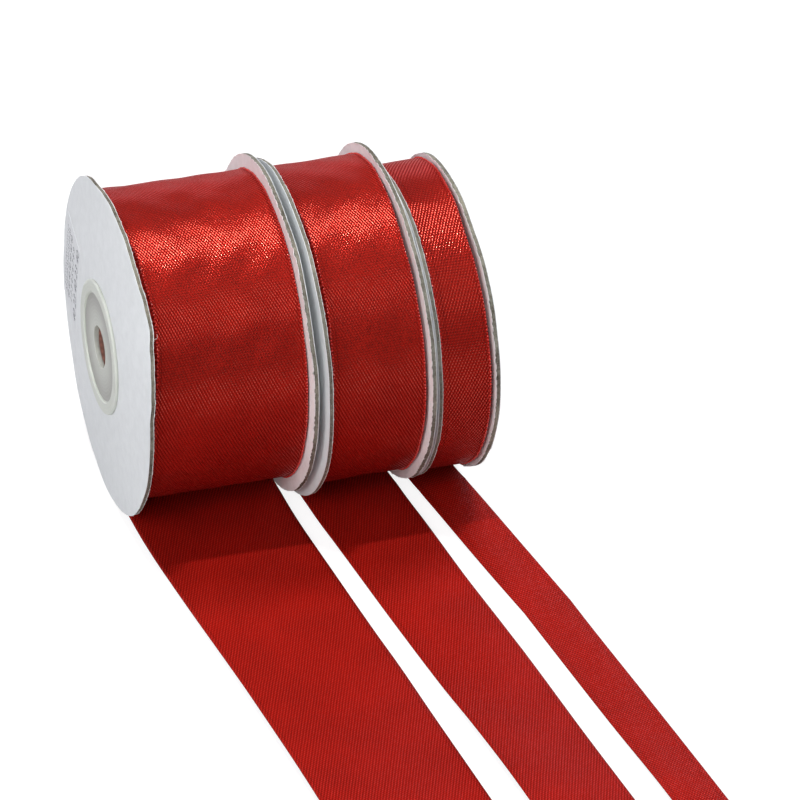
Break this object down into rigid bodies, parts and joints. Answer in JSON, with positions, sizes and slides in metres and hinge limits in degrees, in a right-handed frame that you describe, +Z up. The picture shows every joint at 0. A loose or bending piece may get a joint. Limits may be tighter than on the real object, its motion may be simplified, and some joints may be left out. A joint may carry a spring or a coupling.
{
  "type": "ribbon spool set",
  "caption": "Gift ribbon wound on flanged board spools with plastic hubs, in a wide, a medium and a narrow width side by side, each with its end of red satin ribbon drawn out over the table.",
  "frame": {"origin": "on the wide spool's bore axis, midway between its flanges", "axes": "+X along the wide spool's bore towards the other two spools, +Z up, and the drawn-off ribbon ends run towards -Y"},
  "size_m": [0.1123, 0.2156, 0.086],
  "materials": {
    "white_paper": "matte",
    "greyboard": "matte",
    "hub_plastic": "satin",
    "core_board": "matte",
    "tape": "gloss",
    "red_satin": "satin",
    "label_paper": "satin"
  },
  "bodies": {
    "wide_drawn_end": {"wide_ribbon_end": "red_satin"},
    "wide_spool": {"wide_left_outer_facing": "white_paper", "wide_left_board": "greyboard", "wide_left_inner_facing": "white_paper", "wide_right_inner_facing": "white_paper", "wide_right_board": "greyboard", "wide_right_outer_facing": "white_paper", "wide_left_hub": "hub_plastic", "wide_right_hub": "hub_plastic", "wide_core_tube": "core_board", "wide_starter_tape": "tape", "wide_ribbon_roll": "red_satin", "wide_label": "label_paper"},
    "medium_drawn_end": {"medium_ribbon_end": "red_satin"},
    "medium_spool": {"medium_left_outer_facing": "white_paper", "medium_left_board": "greyboard", "medium_left_inner_facing": "white_paper", "medium_right_inner_facing": "white_paper", "medium_right_board": "greyboard", "medium_right_outer_facing": "white_paper", "medium_left_hub": "hub_plastic", "medium_right_hub": "hub_plastic", "medium_core_tube": "core_board", "medium_starter_tape": "tape", "medium_ribbon_roll": "red_satin", "medium_label": "label_paper"},
    "narrow_drawn_end": {"narrow_ribbon_end": "red_satin"},
    "narrow_spool": {"narrow_left_outer_facing": "white_paper", "narrow_left_board": "greyboard", "narrow_left_inner_facing": "white_paper", "narrow_right_inner_facing": "white_paper", "narrow_right_board": "greyboard", "narrow_right_outer_facing": "white_paper", "narrow_left_hub": "hub_plastic", "narrow_right_hub": "hub_plastic", "narrow_core_tube": "core_board", "narrow_starter_tape": "tape", "narrow_ribbon_roll": "red_satin", "narrow_label": "label_paper"}
  },
  "joints": [
    {"name": "wide_spin", "type": "hinge", "parent": "wide_drawn_end", "child": "wide_spool", "pos_m": [0, 0, 0], "axis": [1, 0, 0], "continuous": true},
    {"name": "medium_spin", "type": "hinge", "parent": "medium_drawn_end", "child": "medium_spool", "pos_m": [0.03657, -0.00246, 0], "axis": [0.9997, 0.0244, 0], "continuous": true},
    {"name": "narrow_spin", "type": "hinge", "parent": "narrow_drawn_end", "child": "narrow_spool", "pos_m": [0.05971, -0.00232, -0.0027], "axis": [0.9997, 0.0244, 0], "continuous": true},
    {"name": "medium_shift", "type": "slide", "parent": "wide_drawn_end", "child": "medium_drawn_end", "axis": [1, 0, 0], "range_m": [0, 0.06]},
    {"name": "narrow_shift", "type": "slide", "parent": "medium_drawn_end", "child": "narrow_drawn_end", "axis": [1, 0, 0], "range_m": [0, 0.06]}
  ]
}
